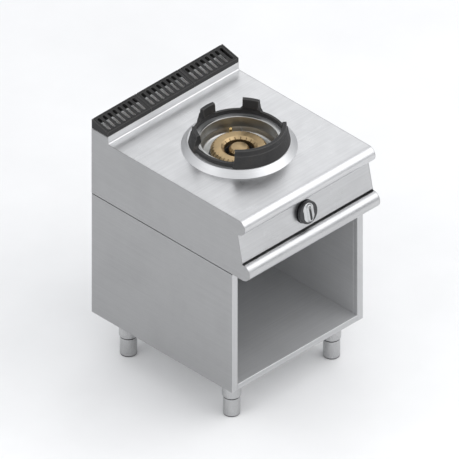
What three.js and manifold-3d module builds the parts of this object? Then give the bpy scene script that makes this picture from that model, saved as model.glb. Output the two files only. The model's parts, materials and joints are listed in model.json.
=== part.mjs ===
// Free-standing gas wok range on an open cabinet.
// Millimetres, +Z up, front faces -Y, origin on the floor under the middle of the body.
// Heights written z' in the comments are above the cabinet underside; V is depth from the back face.
import * as THREE from 'three';
import { mergeVertices } from 'three/addons/utils/BufferGeometryUtils.js';
import Module from 'manifold-3d';

const wasm = await Module();
wasm.setup();

// ---- driving dimensions ----
const W = 600;                 // width over the side panels
const LEG = 148;               // floor to cabinet underside
const DEPTH = 726.5;           // back face to the front of the lower rail
const CAB_D = 647.6;           // cabinet depth
const CAB_H = 472;             // cabinet height
const TOP = 702.5;             // worktop plane, z'
const GAP = 0.3;               // clearance between touching pieces
const FLANGE = 26;             // front face of each cabinet side
const LIP = 23;                // front lip of the cabinet floor
const T = 1.2;                 // cabinet sheet
const LEG_X = 229, LEG_V = [573.8, 98.8];
const SLEEVE_R = 31.6, FOOT_R = 28.3, SLEEVE_H = 75;
const FLUE_D = 74.6, FLUE_TOP = 731;
const GR_BACK = 766.5, GR_FRONT = 748.5, GR_D = 75.5, GR_W = 200;
const SLOTS = 8, SLOT_PITCH = 22.8, SLOT_W = 12.5;
const BV = 379;                // burner centre, V
const COL_R0 = 190, COL_R1 = 169, COL_H = 21.5;
const RING_Z = TOP + COL_H + GAP;
const RING_H = 62;
const KNOB_Z = 592;            // knob axis on the panel, z'
const TUBE_Z = 638;            // mixing tube axis, z'

const Y = v => DEPTH / 2 - v;
const Z = z => LEG + z;

// ---- materials ----
const mat = (c, r, m) => new THREE.MeshStandardMaterial({ color: c, roughness: r, metalness: m });
const steel = mat(0xc9ccce, 0.35, 1), steelIn = mat(0xb9bcbe, 0.45, 1), galv = mat(0x9fa5a8, 0.55, 0.9);
const iron = mat(0x25262a, 0.75, 0.4), brass = mat(0xb7953f, 0.35, 1), copper = mat(0xb0693c, 0.35, 1);
const black = mat(0x111214, 0.45, 0), chrome = mat(0xd5d8da, 0.15, 1), alu = mat(0xaab0b4, 0.4, 1);

const root = new THREE.Group();
const add = (name, geo, m, parent = root) => {
  const o = new THREE.Mesh(geo, m);
  o.name = name;
  parent.add(o);
  return o;
};

// ---- geometry helpers ----
const clean = g => {
  let h = g.clone();
  for (const k of Object.keys(h.attributes)) if (k !== 'position') h.deleteAttribute(k);
  h = mergeVertices(h, 1e-3);
  const p = h.attributes.position.array, ix = h.index.array, keep = [];
  let vol = 0;
  for (let i = 0; i < ix.length; i += 3) {
    const [a, b, c] = [ix[i], ix[i + 1], ix[i + 2]];
    if (a === b || b === c || a === c) continue;
    keep.push(a, b, c);
    const [A, B, C] = [a * 3, b * 3, c * 3];
    vol += p[A] * (p[B + 1] * p[C + 2] - p[B + 2] * p[C + 1]) - p[A + 1] * (p[B] * p[C + 2] - p[B + 2] * p[C]) + p[A + 2] * (p[B] * p[C + 1] - p[B + 1] * p[C]);
  }
  if (vol < 0) for (let i = 0; i < keep.length; i += 3) [keep[i + 1], keep[i + 2]] = [keep[i + 2], keep[i + 1]];
  h.setIndex(keep);
  return h;
};
const toSolid = g => {
  const h = clean(g);
  return new wasm.Manifold(new wasm.Mesh({ numProp: 3, vertProperties: Float32Array.from(h.attributes.position.array), triVerts: Uint32Array.from(h.index.array) }));
};
const fromSolid = s => {
  const m = s.getMesh(), g = new THREE.BufferGeometry();
  g.setAttribute('position', new THREE.BufferAttribute(Float32Array.from(m.vertProperties), 3));
  g.setIndex(Array.from(m.triVerts));
  g.computeVertexNormals();
  return g;
};
const cut = (g, ...tools) => fromSolid(tools.reduce((s, t) => s.subtract(toSolid(t)), toSolid(g)));
const fuse = (g, ...more) => fromSolid(more.reduce((s, t) => s.add(toSolid(t)), toSolid(g)));
const shapeOf = pts => new THREE.Shape(pts.map(([a, b]) => new THREE.Vector2(a, b)));
const extrude = (pts, depth) => new THREE.ExtrudeGeometry(shapeOf(pts), { depth, bevelEnabled: false, curveSegments: 1 });
// outline in (V, z'), swept across the width from x0 to x1
const acrossX = (pts, x0, x1) => extrude(pts.map(([v, z]) => [Y(v), Z(z)]), x1 - x0).applyMatrix4(new THREE.Matrix4().set(0, 0, 1, x0, 1, 0, 0, 0, 0, 1, 0, 0, 0, 0, 0, 1));
// outline in (x, V), swept up from z0 to z1
const upZ = (pts, z0, z1) => extrude(pts.map(([x, v]) => [x, Y(v)]), z1 - z0).translate(0, 0, Z(z0));
// outline in (x, z'), swept back to front from V v0 to v1
const alongV = (pts, v0, v1) => extrude(pts.map(([x, z]) => [x, Z(z)]), v1 - v0).rotateX(Math.PI / 2).translate(0, Y(v0), 0);
const rect = (a0, a1, b0, b1) => [[a0, b0], [a1, b0], [a1, b1], [a0, b1]];
// folded sheet: a polyline and its parallel at distance t on the left side
const sheet = (pts, t) => {
  const n = pts.length, off = [];
  for (let i = 0; i < n; i++) {
    const d = (p, q) => { const l = Math.hypot(q[0] - p[0], q[1] - p[1]); return [(q[0] - p[0]) / l, (q[1] - p[1]) / l]; };
    const d0 = i > 0 ? d(pts[i - 1], pts[i]) : d(pts[i], pts[i + 1]);
    const d1 = i < n - 1 ? d(pts[i], pts[i + 1]) : d0;
    const n0 = [-d0[1], d0[0]], n1 = [-d1[1], d1[0]];
    const k = t / (1 + n0[0] * n1[0] + n0[1] * n1[1]);
    off.push([pts[i][0] + (n0[0] + n1[0]) * k, pts[i][1] + (n0[1] + n1[1]) * k]);
  }
  return [...pts, ...off.reverse()];
};
const circle = (cx, cy, r, n = 32) => Array.from({ length: n }, (_, i) => [cx + r * Math.cos(2 * Math.PI * i / n), cy + r * Math.sin(2 * Math.PI * i / n)]);
// slot with round ends, along the first or the second coordinate
const slot = (cx, cy, len, w, along = 0, n = 5) => {
  const p = [], r = w / 2, h = len / 2 - r;
  for (const s of [1, -1]) for (let i = 0; i <= n; i++) {
    const a = -Math.PI / 2 + Math.PI * i / n;
    p.push([s * (h + r * Math.cos(a)), s * r * Math.sin(a)]);
  }
  return p.map(([a, b]) => along ? [cx - b, cy + a] : [cx + a, cy + b]);
};
// closed skin over convex loops of equal count, ends capped
const loft = loops => {
  const n = loops[0].length, g = new THREE.BufferGeometry(), ix = [];
  for (let k = 0; k < loops.length - 1; k++) for (let i = 0; i < n; i++) {
    const a = k * n + i, b = k * n + (i + 1) % n;
    ix.push(a, b, a + n, b, b + n, a + n);
  }
  const top = (loops.length - 1) * n;
  for (let i = 1; i < n - 1; i++) ix.push(0, i + 1, i, top, top + i, top + i + 1);
  g.setAttribute('position', new THREE.Float32BufferAttribute(loops.flat(2), 3));
  g.setIndex(ix);
  return clean(g);
};
// turned body about +Z; profile of (radius, height)
const turned = (prof, n = 32) => clean(new THREE.LatheGeometry(prof.map(([r, h]) => new THREE.Vector2(r, h)), n).rotateX(Math.PI / 2));
const cyl = (r, z0, z1, n = 32) => turned([[0, z0], [r, z0], [r, z1], [0, z1]], n);
const at = (g, x, v, z) => g.translate(x, Y(v), Z(z));
// round bar through points (x, V, z')
const tube = (pts, r, steps, sides = 8) => {
  const path = new THREE.CatmullRomCurve3(pts.map(([x, v, z]) => new THREE.Vector3(x, Y(v), Z(z))), false, 'centripetal');
  const s = shapeOf(circle(0, 0, r, sides));
  return new THREE.ExtrudeGeometry(s, { steps, extrudePath: path, bevelEnabled: false, curveSegments: 1 });
};

// ---- legs: fixed sleeve and telescoping foot ----
for (const [fx, sx] of [['left', -1], ['right', 1]]) for (const [fy, v] of [['front', LEG_V[0]], ['rear', LEG_V[1]]]) {
  const g = new THREE.Group();
  g.position.set(sx * LEG_X, Y(v), LEG);
  root.add(g);
  add(`leg_sleeve_${fy}_${fx}`, turned([[0, -GAP], [SLEEVE_R, -GAP], [SLEEVE_R, -SLEEVE_H], [29, -SLEEVE_H], [29, -3.3], [0, -3.3]], 22), steel, g);
  add(`leg_foot_${fy}_${fx}`, turned([[0, -LEG], [26.8, -LEG], [FOOT_R, -LEG + 1.5], [FOOT_R, -8], [26.3, -8], [26.3, -LEG + 6], [0, -LEG + 6]], 22), steelIn, g);
}

// ---- cabinet ----
const XI = W / 2 - FLANGE;       // half width of the opening
for (const [n, s] of [['left', -1], ['right', 1]]) {
  const side = sheet([[XI, 629], [XI, CAB_D], [W / 2, CAB_D], [W / 2, 0], [W / 2 - 15, 0]].map(([x, v]) => [x, -v]), T).map(([x, v]) => [s * x, -v]);
  add(`cabinet_side_${n}`, clean(upZ(side, 0, CAB_H - GAP)), steel);
  const liner = sheet([[XI + 12, 628.6], [XI, 628.6], [XI, 2.2], [XI + 12, 2.2]].map(([x, v]) => [x, -v]), -T).map(([x, v]) => [s * x, -v]);
  add(`cabinet_liner_${n}`, clean(upZ(liner, GAP, CAB_H - GAP)), steelIn);
  const rail = sheet([[189, 21.4], [189, 0], [269, 0], [269, 21.4]], 2).map(([x, z]) => [s * x, z]);
  add(`leg_rail_${n}`, clean(alongV(rail, 20, 625)), galv);
}
add('cabinet_floor', clean(acrossX(sheet([[632, 0], [CAB_D, 0], [CAB_D, LIP], [1.5, LIP], [1.5, 3]], T), -XI + GAP, XI - GAP)), steelIn);
add('cabinet_back', clean(alongV(rect(-284.7, 284.7, GAP, CAB_H - GAP), 0, T)), galv);
add('tie_rail_front', clean(acrossX(sheet([[630, 446], [647.3, 446], [647.3, CAB_H - GAP], [630, CAB_H - GAP]], T), -XI + GAP, XI - GAP)), steelIn);
add('tie_rail_rear', clean(acrossX(sheet([[2, 440], [2, CAB_H - GAP], [22, CAB_H - GAP]], -T), -XI + GAP, XI - GAP)), galv);

// ---- upper body ----
const NOSE = [[674, TOP], [681, 702], [687.5, 700], [693.5, 696.5], [698.5, 691.5], [702.2, 685.5], [704.2, 679], [704.6, 673], [703.4, 666], [700.2, 659.3], [695.5, 653.4], [689.3, 648.4], [682.5, 645], [677, 643.4], [671, 643]];
const RAIL = [[694, 534], [703.5, 533.2], [711.2, 530.6], [717.4, 526], [722, 519.5], [725.2, 511.5], [DEPTH, 502.5], [725.4, 494.8], [721.8, 487.6], [716, 481.4], [708.5, 476.7], [700, 473.9], [690, 472.6], [676, CAB_H + GAP]];
const UPST = [[FLUE_D, FLUE_TOP - GAP], [FLUE_D, 709.5], [75.4, 706], [78, 703.6], [82, TOP]];
const XC = W / 2 - 1.8;          // inner face of the side cheeks
const XW = XC - GAP;             // half length of what spans between them
const onPanel = z => 671 + (643 - z) * 23 / 109;
for (const [n, s] of [['left', -1], ['right', 1]]) {
  const prof = [[0, CAB_H + GAP], [0, FLUE_TOP - GAP], ...UPST, ...NOSE, ...RAIL];
  add(`upper_side_${n}`, clean(acrossX(prof, s > 0 ? XC : -W / 2, s > 0 ? W / 2 : -XC)), steel);
}
const top = clean(acrossX(sheet([[67, FLUE_TOP - GAP], ...UPST, ...NOSE, [664, 643]], -2), -XW, XW));
add('worktop', cut(top, at(cyl(150, -20, 20, 72), 0, BV, TOP)), steel);

const PN = new THREE.Group();    // frame of the knob: +Z out of the panel, +Y up the panel
const TILT = Math.atan2(109, 23);
PN.position.set(0, Y(onPanel(KNOB_Z)), Z(KNOB_Z));
PN.rotation.x = TILT;
root.add(PN);
PN.updateMatrixWorld(true);
const inPanel = g => g.clone().applyMatrix4(PN.matrixWorld);
const P = (s, u = 0, x = 0) => {  // point s out along the knob axis, u up the panel, as (x, V, z')
  const q = new THREE.Vector3(x, u, s).applyMatrix4(PN.matrixWorld);
  return [q.x, DEPTH / 2 - q.y, q.z - LEG];
};
add('control_panel', cut(clean(acrossX(sheet([[650, 642.4], [onPanel(642.4), 642.4], [onPanel(537), 537], [680, 537]], -1.5), -XW, XW)), inPanel(cyl(13, -12, 12, 32))), steel);
add('lower_rail', clean(acrossX(sheet([[672, 552], [672, 528], [695.8, 528], [698.2, 532.4], ...RAIL.slice(1), [642, CAB_H + GAP], [642, 488]], -1.5), -XW, XW)), steel);

const INLET = [230, 520];
const backSlots = [];
for (let i = -3; i <= 3; i++) backSlots.push(alongV(slot(i * 46 - 90, 525, 60, 8, 1, 3), -5, 5));
add('upper_back', cut(alongV(rect(-XW, XW, CAB_H + GAP, 728), 0, T), alongV(circle(...INLET, 16, 24), -5, 5), ...backSlots), galv);
const floorSlots = [];
for (let i = -3; i <= 3; i++) floorSlots.push(upZ(slot(i * 60, 300, 120, 10, 1, 3), 460, 490));
add('upper_floor', cut(upZ(rect(-XW, XW, 1.8, 640), CAB_H + GAP, CAB_H + GAP + T), ...floorSlots), galv);
add('front_crossbar', clean(acrossX(sheet([[600, 520], [600, 556], [640, 556], [640, 520]], -2), -XW, XW)), galv);
add('burner_bridge', clean(acrossX(sheet([[355, 600], [355, 627.7], [403, 627.7], [403, 600]], -2), -XW, XW)), galv);
{
  // bent plate behind the panel that carries the gas tap
  const plate = sheet([P(-7.7, 28), P(-7.7, -33), [650, 556.3], [624, 556.3]].map(p => p.length === 3 ? [p[1], p[2]] : p), -2);
  add('tap_bracket', cut(clean(acrossX(plate, -32, 32)), inPanel(cyl(12.6, -20, 10, 28))), galv);
  add('injector_bracket', clean(alongV(sheet([[14.5, 650], [14.5, 556.3], [36, 556.3]], 2), 604, 619)), galv);
}

// ---- flue ----
add('flue_duct', cut(upZ(rect(-297, 297, 2, 72.2), 560, 728.3), upZ(rect(-295.5, 295.5, 3.5, 70.7), 540, 740)), galv);
const wedge = (x0, x1, v0, v1, drop, z0) => {
  const topAt = v => GR_BACK + (GR_FRONT - GR_BACK) * v / GR_D - drop;
  return acrossX([[v0, z0], [v1, z0], [v1, topAt(v1)], [v0, topAt(v0)]], x0, x1);
};
['left', 'middle', 'right'].forEach((n, i) => {
  const x0 = -W / 2 + i * GR_W + (i ? GAP / 2 : GAP), x1 = -W / 2 + (i + 1) * GR_W - (i < 2 ? GAP / 2 : GAP), xm = -W / 2 + (i + 0.5) * GR_W;
  const tools = [wedge(i ? x0 - 1 : x0 + 4, i < 2 ? x1 + 1 : x1 - 4, 4, GR_D - 4, 5, 700)];   // neighbouring grilles are open towards each other
  for (let k = 0; k < SLOTS; k++) tools.push(upZ(slot(xm + (k - (SLOTS - 1) / 2) * SLOT_PITCH, GR_D / 2, 58, SLOT_W, 1, 4), 735, 780));
  add(`flue_grille_${n}`, cut(wedge(x0, x1, 0, GR_D, 0, FLUE_TOP), ...tools), iron);
});

// ---- burner collar, ring and bowl ----
const about = g => at(g, 0, BV, 0);
add('burner_collar', about(turned([[COL_R0, TOP + GAP], [COL_R1 + 0.6, TOP + COL_H - 0.6], [COL_R1 - 1, TOP + COL_H], [131.6, TOP + COL_H], [131, TOP + COL_H - 0.6], [131, TOP + COL_H - 2], [168, TOP + COL_H - 2], [187.2, TOP + GAP], [COL_R0, TOP + GAP]], 60)), steel);
add('spill_bowl', cut(about(turned(sheet([[135.5, TOP + COL_H + GAP + 1.5], [128.4, TOP + COL_H + GAP + 1.5], [128.4, 686], [123, 673], [112, 668], [99, 668]], 1.5).concat([[135.5, TOP + COL_H + GAP + 1.5]]), 40)),
  at(cyl(7, 650, 690, 16), 55, BV - 95.3, 0), at(cyl(5, 650, 690, 12), 81.7, BV - 73.6, 0)), steelIn);
{
  // cast ring: a low band all round, three lugs and one long shield standing on it.
  // Each station is the full section cut off at height h; a raised part starts with a concave foot.
  const BAND = 17, FOOT = 11, D = Math.PI / 180;
  const inner = h => h < 20 ? 149 - h / 20 : h < 32 ? 160 - h + 8 : 136 + (h - 32) / 6;
  const station = (a, h, flare) => {
    const plain = z => z < 44 ? 157 : 157 - (z - 44) / 6;
    const outer = z => plain(z) + flare * ((z < 44 ? 167.5 - z * 9.5 / 44 : 155.4 - (z - 44) * 1.4 / 18) - plain(z));
    const pts = [[inner(0), 0], [outer(0), 0], [outer(Math.min(h, 43.9)), Math.min(h, 43.9)], [outer(Math.min(h, 44.1)), Math.min(h, 44.1)], [outer(h), h], [inner(h), h], [inner(Math.min(h, 32)), Math.min(h, 32)], [inner(Math.min(h, 20)), Math.min(h, 20)]];
    return pts.map(([r, z]) => [r * Math.cos(a * D), -r * Math.sin(a * D), z]);
  };
  const parts = [[89.7, 51, 1], [210, 11, 1], [270, 11, 1], [330, 11, 1]];
  const rows = [], foot = FOOT / 153 / D;
  let last = parts[3][0] + parts[3][1] + foot - 360;
  for (const [mid, half, flare] of parts) {
    const a0 = mid - half, a1 = mid + half, n0 = Math.ceil((a0 - foot - last) / 5), n1 = Math.ceil(2 * half / 5);
    for (let i = 1; i < n0; i++) rows.push(station(last + (a0 - foot - last) * i / n0, BAND, 0));
    const fade = d => flare * (1 + Math.cos(Math.PI * Math.min(1, d / FOOT))) / 2;
    const climb = d => BAND + FOOT - Math.sqrt(Math.max(0, FOOT * FOOT - (d - FOOT) * (d - FOOT)));
    for (let i = 0; i <= 5; i++) { const d = FOOT * (1 - Math.sin(Math.PI / 2 * i / 5)); rows.push(station(a0 - d / 153 / D, climb(d), fade(d))); }
    for (let i = 0; i <= n1; i++) rows.push(station(a0 + 0.05 + (a1 - a0 - 0.1) * i / n1, RING_H, flare));
    for (let i = 5; i >= 0; i--) { const d = FOOT * (1 - Math.sin(Math.PI / 2 * i / 5)); rows.push(station(a1 + d / 153 / D, climb(d), fade(d))); }
    last = a1 + foot;
  }
  const K = rows[0].length, g = new THREE.BufferGeometry(), ix = [];
  rows.forEach((_, i) => {
    const b = (i + 1) % rows.length;
    for (let k = 0; k < K; k++) {
      const l = (k + 1) % K;
      ix.push(i * K + k, b * K + k, i * K + l, b * K + k, b * K + l, i * K + l);
    }
  });
  g.setAttribute('position', new THREE.BufferAttribute(Float32Array.from(rows.flat(2)), 3));
  g.setIndex(ix);
  add('wok_ring', at(clean(g), 0, BV, RING_Z), iron);
}

// ---- burner ----
{
  const body = turned([[0, 628], [46, 628], [90, 648], [95, 655], [95, 675], [87, 675], [87, 658], [56, 646], [56, 675], [49, 675], [49, 640], [34, 636], [34, 675], [27, 675], [27, 636], [0, 636]], 36);
  const axisY = (g, v0, z) => g.rotateX(Math.PI / 2).translate(0, Y(v0), Z(z));   // local +Z points to the front
  const boss = axisY(cyl(26, 50, 108, 24), BV, TUBE_Z);
  const bore = axisY(cyl(13, 62, 120, 16), BV, TUBE_Z);
  add('burner_body', cut(fuse(about(body), boss), bore), iron);
  add('mixing_tube', axisY(turned([[14, 108.3], [26, 108.3], [26, 114], [19, 116], [16.5, 140], [17, 165], [24, 196], [21.5, 196], [14.6, 165], [14, 108.3]], 20), BV, TUBE_Z), iron);
  add('air_shutter', axisY(turned([[24.4, 184], [26.4, 184], [26.4, 204], [10, 204], [10, 202], [24.4, 202], [24.4, 184]], 20), BV, TUBE_Z), brass);
  add('injector', axisY(turned([[1, 202.5], [3, 202.5], [6, 208], [6, 214], [9.5, 214], [9.5, 224.7], [3, 224.7], [3, 209], [1, 207], [1, 202.5]], 12), BV, TUBE_Z), brass);
  add('injector_holder', cut(alongV(rect(-14, 14, TUBE_Z - 14, TUBE_Z + 14), BV + 225, BV + 240), axisY(cyl(3.6, 220, 234, 12), BV, TUBE_Z), new THREE.CylinderGeometry(3.6, 3.6, 16, 12).rotateZ(Math.PI / 2).translate(-8, Y(BV + 232), Z(TUBE_Z))), brass);

  const slots = (n, r0, r1, w, z0, z1, turn = 0) => Array.from({ length: n }, (_, i) => new THREE.BoxGeometry(r1 - r0, w, z1 - z0).translate((r0 + r1) / 2, 0, (z0 + z1) / 2).rotateZ(2 * Math.PI * (i + turn) / n));
  add('burner_crown', about(cut(turned([[50, 675.3], [94, 675.3], [94, 689], [86, 699], [60, 699], [50, 691], [50, 675.3]], 36), ...slots(18, 80, 100, 3.6, 684, 702))), brass);
  add('burner_cap', about(cut(turned([[0, 675.3], [33.6, 675.3], [33.6, 689], [27, 698], [8, 701], [0, 701]], 20), ...slots(10, 24, 40, 3, 684, 702, 0.5))), brass);

  const pilot = [55, BV - 95.3], tc = [81.7, BV - 73.6];
  add('pilot_burner', at(cut(turned([[0, 656], [4.5, 656], [4.5, 676], [6, 678], [6, 694], [3, 698], [0, 698]], 16), cyl(2.7, 650, 668, 10)), ...pilot, 0), brass);
  add('thermocouple', at(turned([[0, 656], [3.4, 656], [3.4, 664], [2.2, 665], [2.2, 692], [1.2, 696], [0, 696]], 12), ...tc, 0), steelIn);
  add('pilot_bracket', cut(upZ([[100, BV - 57], [94, BV - 82], [62, BV - 109], [44, BV - 108], [40, BV - 92], [60, BV - 83], [84, BV - 57]], 648, 650), at(cyl(4.9, 640, 660, 16), ...pilot, 0), at(cyl(4.6, 640, 660, 12), ...tc, 0)), steelIn);

  // ---- gas tap and knob, in the frame of the panel ----
  const inletB = new THREE.CylinderGeometry(9, 9, 26, 14).rotateZ(Math.PI / 2).translate(21, 0, -30);
  const inletH = new THREE.CylinderGeometry(5.5, 5.5, 20, 10).rotateZ(Math.PI / 2).translate(26, 0, -30);
  const outB = new THREE.CylinderGeometry(7, 7, 22, 14).rotateZ(Math.PI / 2).translate(-19, 0, -42);
  const outH = new THREE.CylinderGeometry(4, 4, 16, 8).rotateZ(Math.PI / 2).translate(-24, 0, -42);
  const pilB = new THREE.CylinderGeometry(5, 5, 16, 10).translate(0, 18, -24);
  const tapOuter = fuse(turned([[0, -56], [17, -56], [17, -10], [12, -10], [12, -2.6], [0, -2.6]], 24), inletB, outB, pilB);
  add('tap_body', cut(tapOuter, turned([[0, -58], [2.6, -58], [2.6, -31], [4.5, -31], [4.5, -22.3], [8.6, -22.3], [8.6, 0], [0, 0]], 16), inletH, outH, new THREE.CylinderGeometry(1.5, 1.5, 8, 8).translate(0, 23, -24)), brass, PN);
  add('bonnet_nut', turned([[4.5, -2.3], [12, -2.3], [12, -0.3], [4.5, -0.3], [4.5, -2.3]], 24), brass, PN);
  add('magnet_unit', turned([[0, -84], [7, -84], [10, -80], [10, -56.3], [2.8, -56.3], [2.8, -66], [0, -66]], 24), steelIn, PN);
  add('tap_spindle', turned([[0, -24], [4, -24], [4, -4.6], [8, -4.6], [8, -3.4], [4, -3.4], [4, 13.4], [0, 13.4]], 20), steelIn, PN);
  add('tap_plunger', turned([[0, -54], [2, -54], [2, -24.4], [0, -24.4]], 12), steelIn, PN);
  const turns = 5, coil = new (class extends THREE.Curve {
    getPoint(t, q = new THREE.Vector3()) {
      const a = 2 * Math.PI * turns * t;
      return q.set(6.4 * Math.cos(a), 6.4 * Math.sin(a), -21.2 + 15.2 * t);
    }
  })();
  add('knob_spring', clean(new THREE.ExtrudeGeometry(shapeOf(circle(0, 0, 0.7, 5)), { steps: turns * 11, extrudePath: coil, bevelEnabled: false, curveSegments: 1 })), steelIn, PN);
  add('dial_ring', turned([[13, 0.3], [41, 0.3], [41, 1.2], [40.2, 2], [13, 2], [13, 0.3]], 40), black, PN);
  const skirt = turned([[0, 13.8], [4.3, 13.8], [4.3, 5.8], [12, 5.8], [12, 14.2], [36.8, 14.2], [36.8, 7.4], [39.5, 7.4], [39.5, 16.2], [37.9, 18], [0, 18]], 40);
  // grip: flanks hollowed down to the skirt, [height, half length, half width]
  const grip = [[16, 34.4, 25.5], [17.6, 34.4, 25.5], [18.5, 33, 19.5], [19.8, 32, 15], [21.6, 31.2, 12.2], [24.6, 30.2, 10.5], [26.2, 28.9, 9.2], [27, 26.6, 7]];
  const bar = loft(grip.map(([h, l, w]) => slot(0, 0, 2 * l, 2 * w, 1, 8).map(([a, b]) => [a, b, h])));
  add('knob', fuse(skirt, bar), alu, PN);

  // ---- gas pipes and lead ----
  const union = axisY(turned([[7, 0], [10.5, 0], [10.5, 2.6], [19, 2.6], [19, 9], [12, 9], [12, 46], [7, 46], [7, 0]], 24), 0, INLET[1]);
  add('gas_inlet_union', union.translate(INLET[0], 0, 0), brass);
  const tin = P(-30, 0, 34.4), tout = P(-42, 0, -30.4), pil = P(-24, 26.4), tail = P(-84.4);
  const [ix, iz] = INLET;
  add('gas_supply_pipe', clean(tube([[ix, 46.4, iz], [ix, 90, iz], [ix, 170, 503], [ix, 350, 499], [ix, 560, 499], [ix, 630, 499], [ix, tin[1] - 3, 514], [ix - 4, tin[1], 556], [ix - 30, tin[1], tin[2] - 4], [ix - 74, tin[1], tin[2]], [90, tin[1], tin[2]], [48, tin[1], tin[2]], tin], 8, 38, 8)), steelIn);
  add('burner_gas_pipe', clean(tube([tout, [-44, tout[1], tout[2]], [-66, tout[1] - 4, tout[2] + 5], [-80, 624, 602], [-76, 613, 626], [-56, BV + 232.5, TUBE_Z - 1], [-32, BV + 232.5, TUBE_Z], [-14.4, BV + 232.5, TUBE_Z]], 5, 24, 6)), copper);
  add('pilot_tube', clean(tube([pil, P(-24, 34), [6, 646, 636], [40, 625, 641], [100, 560, 636], [132, 450, 634], [128, 340, 634], [90, 290, 636], [64, 283, 640], [55, BV - 95.3, 650], [55, BV - 95.3, 655.6]], 2.2, 38, 5)), copper);
  add('thermocouple_lead', clean(tube([tail, P(-92), [10, 584, 576], [40, 566, 588], [110, 540, 615], [146, 450, 634], [144, 350, 635], [116, 306, 638], [88, BV - 74, 640], [81.7, BV - 73.6, 646], [81.7, BV - 73.6, 650], [81.7, BV - 73.6, 655.6]], 1.6, 38, 5)), copper);
}

export default root;
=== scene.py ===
import json
import math

import bmesh
import bpy
from mathutils import Matrix, Vector


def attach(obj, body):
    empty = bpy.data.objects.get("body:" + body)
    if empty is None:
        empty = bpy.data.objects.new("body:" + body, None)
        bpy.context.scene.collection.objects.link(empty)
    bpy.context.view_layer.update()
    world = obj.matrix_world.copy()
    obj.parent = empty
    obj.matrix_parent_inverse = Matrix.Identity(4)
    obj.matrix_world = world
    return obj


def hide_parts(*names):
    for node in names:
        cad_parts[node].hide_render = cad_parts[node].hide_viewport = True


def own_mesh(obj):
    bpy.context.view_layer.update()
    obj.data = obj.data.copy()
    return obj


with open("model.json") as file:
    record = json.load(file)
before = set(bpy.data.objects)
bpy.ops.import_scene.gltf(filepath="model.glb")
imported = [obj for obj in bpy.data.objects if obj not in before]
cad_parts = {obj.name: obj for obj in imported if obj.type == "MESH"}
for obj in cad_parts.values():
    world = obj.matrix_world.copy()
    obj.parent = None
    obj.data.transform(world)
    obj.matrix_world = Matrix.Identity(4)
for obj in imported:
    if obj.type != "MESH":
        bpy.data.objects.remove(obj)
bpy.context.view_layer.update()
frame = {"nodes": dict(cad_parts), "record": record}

PI = math.pi

# ---------------------------------------------------------------- camera
# Parallel projection, front left, from above: the drawing's own three directions.
AZ, EL = math.radians(-44.876), math.radians(35.38)
AIM = Vector((0.0, 0.02925, 0.4925))
BACK = Vector((math.sin(AZ) * math.cos(EL), -math.cos(AZ) * math.cos(EL), math.sin(EL)))
cam_data = bpy.data.cameras.new("camera")
cam_data.type = "ORTHO"
cam_data.ortho_scale = 1.4908
cam_data.clip_start, cam_data.clip_end = 0.05, 60
cam = bpy.data.objects.new("camera", cam_data)
bpy.context.scene.collection.objects.link(cam)
cam.location = AIM + BACK * 6
cam.rotation_mode = "QUATERNION"
cam.rotation_quaternion = (-BACK).to_track_quat("-Z", "Y")
bpy.context.scene.camera = cam

# ---------------------------------------------------------------- dimensions, mm (V = depth from the back, Zc = height above the cabinet underside)
W, LEG, DEPTH, CAB_D, CAB_H, TOP = 600, 148, 726.5, 647.6, 472, 702.5
GAP, LIP, XI = 0.3, 23, 274
FLUE_D, FLUE_TOP, GR_BACK, GR_FRONT, GR_D, GR_W = 74.6, 731, 766.5, 748.5, 75.5, 200
SLOTS, PITCH, SLOT_W = 8, 22.8, 12.5
BV, COL_R0, COL_R1, COL_H, RING_H, KNOB_Z, TUBE_Z = 379, 190, 169, 21.5, 62, 592, 638
RING_Z = TOP + COL_H + GAP
XC = W / 2 - 1.8
XW = XC - GAP


def Y(v):
    return DEPTH / 2 - v


def Z(z):
    return LEG + z


# ---------------------------------------------------------------- 2-D helpers
def fillet(pts, r, n=6, closed=False):
    out, m = [], len(pts)
    for i, p in enumerate(pts):
        ri = r[i] if isinstance(r, (list, tuple)) else r
        if ri <= 0 or (not closed and i in (0, m - 1)):
            out.append((p[0], p[1]))
            continue
        a, b, c = Vector(pts[i - 1]), Vector(p), Vector(pts[(i + 1) % m])
        u, w = a - b, c - b
        la, lc = u.length, w.length
        u.normalize(); w.normalize()
        ang = u.angle(w)
        if ang > PI - 0.03:
            out.append((p[0], p[1]))
            continue
        d = min(ri / math.tan(ang / 2), la * 0.49, lc * 0.49)
        rr = d * math.tan(ang / 2)
        s, e = b + u * d, b + w * d
        q = b + (u + w).normalized() * (rr / math.sin(ang / 2))
        a0, a1 = math.atan2(s.y - q.y, s.x - q.x), math.atan2(e.y - q.y, e.x - q.x)
        da = (a1 - a0 + PI) % (2 * PI) - PI
        for k in range(n + 1):
            t = a0 + da * k / n
            out.append((q.x + rr * math.cos(t), q.y + rr * math.sin(t)))
    return out


def offset(pts, t):
    """The parallel of an open line, at distance t on its left."""
    out, n = [], len(pts)
    for i in range(n):
        def d(p, q):
            l = math.hypot(q[0] - p[0], q[1] - p[1]) or 1
            return (q[0] - p[0]) / l, (q[1] - p[1]) / l
        d0 = d(pts[i - 1], pts[i]) if i else d(pts[0], pts[1])
        d1 = d(pts[i], pts[i + 1]) if i < n - 1 else d0
        n0, n1 = (-d0[1], d0[0]), (-d1[1], d1[0])
        k = t / max(0.15, 1 + n0[0] * n1[0] + n0[1] * n1[1])
        out.append((pts[i][0] + (n0[0] + n1[0]) * k, pts[i][1] + (n0[1] + n1[1]) * k))
    return out


def sheet(pts, t):
    return list(pts) + offset(pts, t)[::-1]


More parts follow.
